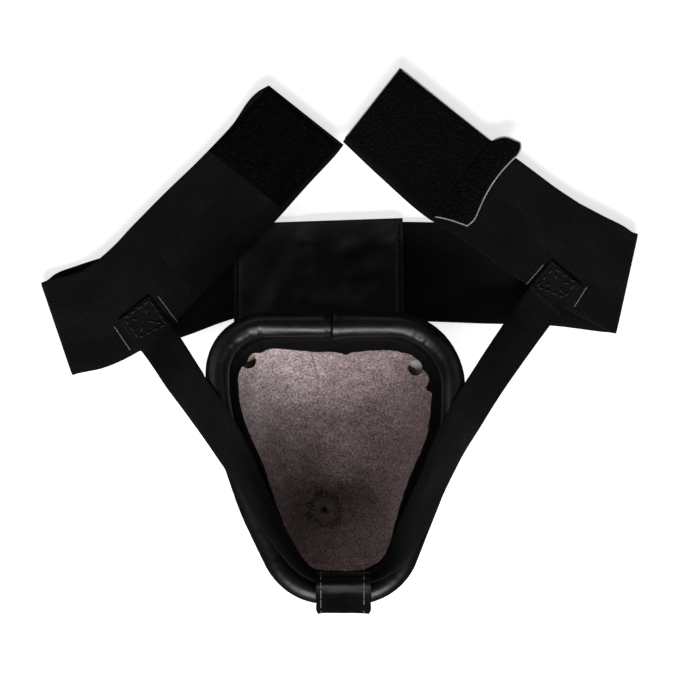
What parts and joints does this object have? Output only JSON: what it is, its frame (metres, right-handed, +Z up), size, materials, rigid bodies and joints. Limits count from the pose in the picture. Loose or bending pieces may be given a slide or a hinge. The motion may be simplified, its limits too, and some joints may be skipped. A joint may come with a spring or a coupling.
{
  "type": "groin protector",
  "caption": "Hard-shell groin protector with a padded leather rim, suede lining, wide elastic waist band with hook-and-loop ends and an elastic leg strap in a keeper loop.",
  "frame": {"origin": "on the surface that the part lies on, under the middle of its bounding box", "axes": "+X along the waist band towards the hook end's side, +Y from the cup's chin to the waist band, +Z up, out of the cup's lined inside"},
  "size_m": [0.3582, 0.3242, 0.0646],
  "materials": {
    "band_elastic": "ribbed black elastic webbing, matt with a faint sheen",
    "strap_elastic": "fine woven black elastic",
    "black_leather": "glossy grained black leather",
    "suede": "mottled mauve-grey suede",
    "steel": "plain pressed sheet",
    "foam": "closed-cell foam",
    "loop_pile": "fuzzy looped pile",
    "hook_tape": "rows of small plastic hooks",
    "dark_thread": "waxed thread",
    "pale_thread": "pale thread"
  },
  "bodies": {
    "belt": {"waist_band_center": "band_elastic", "left_band_fold": "band_elastic", "right_band_fold": "band_elastic", "belt_sleeve": "black_leather", "sleeve_stitching": "dark_thread", "hinge_tongue": "black_leather"},
    "cup": {"outer_cover": "black_leather", "hard_shell": "steel", "shell_padding": "foam", "suede_lining": "suede", "rim_inner_strip": "black_leather", "rim_foam": "foam", "rim_binding": "black_leather", "leg_strap": "strap_elastic", "keeper_loop": "black_leather", "keeper_stitching": "dark_thread"},
    "left_arm": {"left_band_arm": "band_elastic", "left_anchor_stitching": "dark_thread", "left_bar_tacks": "pale_thread"},
    "right_arm": {"right_band_arm": "band_elastic", "right_anchor_stitching": "dark_thread", "right_bar_tacks": "pale_thread"},
    "left_end": {"left_band_end": "band_elastic", "loop_tape": "loop_pile", "loop_tape_stitching": "dark_thread"},
    "right_end": {"right_band_end": "band_elastic", "hook_tape": "hook_tape", "hook_tape_stitching": "dark_thread"},
    "hook_tail": {"hook_flap": "hook_tape"}
  },
  "joints": [
    {"name": "cup_tilt", "type": "hinge", "parent": "belt", "child": "cup", "pos_m": [0, 0.012, 0.002], "axis": [-1, 0, 0], "range_deg": [0, 60], "deforming": ["hinge_tongue", "leg_strap"]},
    {"name": "left_arm_fold", "type": "hinge", "parent": "belt", "child": "left_arm", "pos_m": [-0.1762, 0.0359, 0.00392], "axis": [0.3281, -0.9447, 0], "range_deg": [0, 110], "deforming": ["left_band_fold"]},
    {"name": "right_arm_fold", "type": "hinge", "parent": "belt", "child": "right_arm", "pos_m": [0.1769, 0.0651, 0.00392], "axis": [0.2149, 0.9766, 0], "range_deg": [0, 110], "deforming": ["right_band_fold"]},
    {"name": "left_end_lift", "type": "hinge", "parent": "left_arm", "child": "left_end", "pos_m": [-0.0865, 0.1058, 0.0068], "axis": [0.7784, -0.6278, 0], "range_deg": [0, 160]},
    {"name": "right_end_lift", "type": "hinge", "parent": "right_arm", "child": "right_end", "pos_m": [0.0795, 0.0568, 0.0068], "axis": [0.6287, 0.7777, 0], "range_deg": [0, 150]},
    {"name": "hook_tail_lift", "type": "hinge", "parent": "right_end", "child": "hook_tail", "pos_m": [0.0906, 0.1196, 0.00865], "axis": [-0.6218, -0.7831, 0], "range_deg": [0, 150]}
  ]
}
